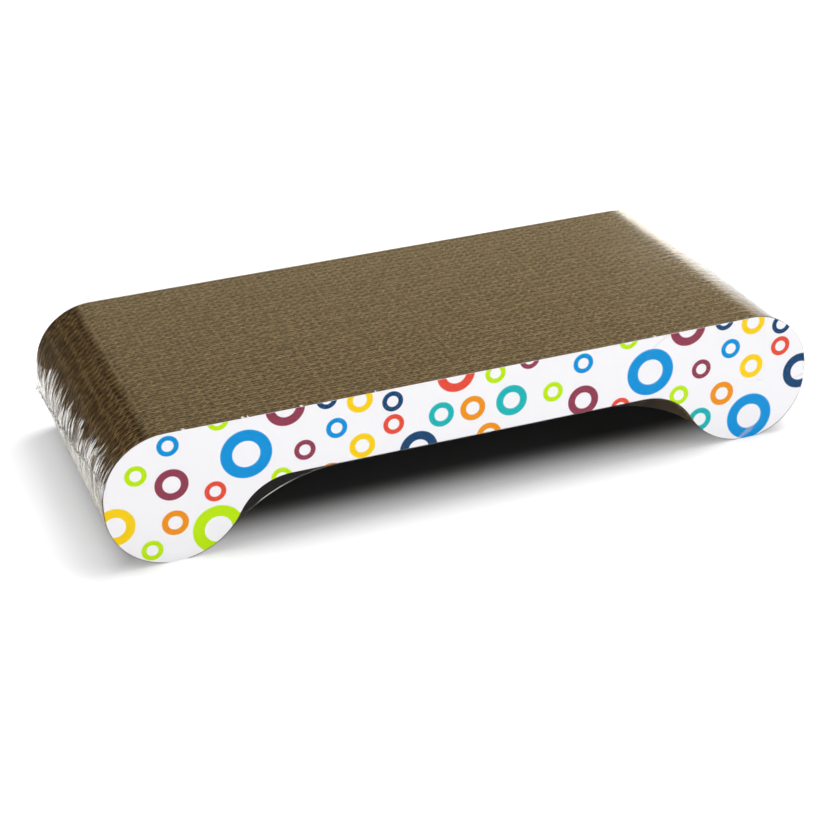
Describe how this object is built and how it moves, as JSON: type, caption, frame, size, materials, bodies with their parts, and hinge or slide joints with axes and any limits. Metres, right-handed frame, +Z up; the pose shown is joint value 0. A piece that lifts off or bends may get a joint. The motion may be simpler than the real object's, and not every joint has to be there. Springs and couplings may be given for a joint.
{
  "type": "cat scratcher",
  "caption": "Bridge-shaped cat scratcher of corrugated boards on edge, with printed paper faces front and back and a clear shrink wrap.",
  "frame": {"origin": "on the floor, under the middle of the block", "axes": "+X along the block, +Y across the boards from the front print to the back one, +Z up"},
  "size_m": [0.4508, 0.2, 0.0834],
  "materials": {
    "corrugated_board": "raw brown kraft with open cut flutes",
    "printed_paper": "smooth white litho paper with printed coloured rings",
    "clear_film": "thin clear shrink film with faint wrinkles"
  },
  "bodies": {
    "root": {"board_01": "corrugated_board", "board_02": "corrugated_board", "board_03": "corrugated_board", "board_04": "corrugated_board", "board_05": "corrugated_board", "board_06": "corrugated_board", "board_07": "corrugated_board", "board_08": "corrugated_board", "board_09": "corrugated_board", "board_10": "corrugated_board", "board_11": "corrugated_board", "board_12": "corrugated_board", "board_13": "corrugated_board", "board_14": "corrugated_board", "board_15": "corrugated_board", "board_16": "corrugated_board", "board_17": "corrugated_board", "board_18": "corrugated_board", "board_19": "corrugated_board", "board_20": "corrugated_board", "board_21": "corrugated_board", "board_22": "corrugated_board", "board_23": "corrugated_board", "board_24": "corrugated_board", "board_25": "corrugated_board", "board_26": "corrugated_board", "board_27": "corrugated_board", "board_28": "corrugated_board", "board_29": "corrugated_board", "board_30": "corrugated_board", "board_31": "corrugated_board", "board_32": "corrugated_board", "board_33": "corrugated_board", "board_34": "corrugated_board", "board_35": "corrugated_board", "front_print_sheet": "printed_paper", "back_print_sheet": "printed_paper", "shrink_film": "clear_film"}
  },
  "joints": []
}
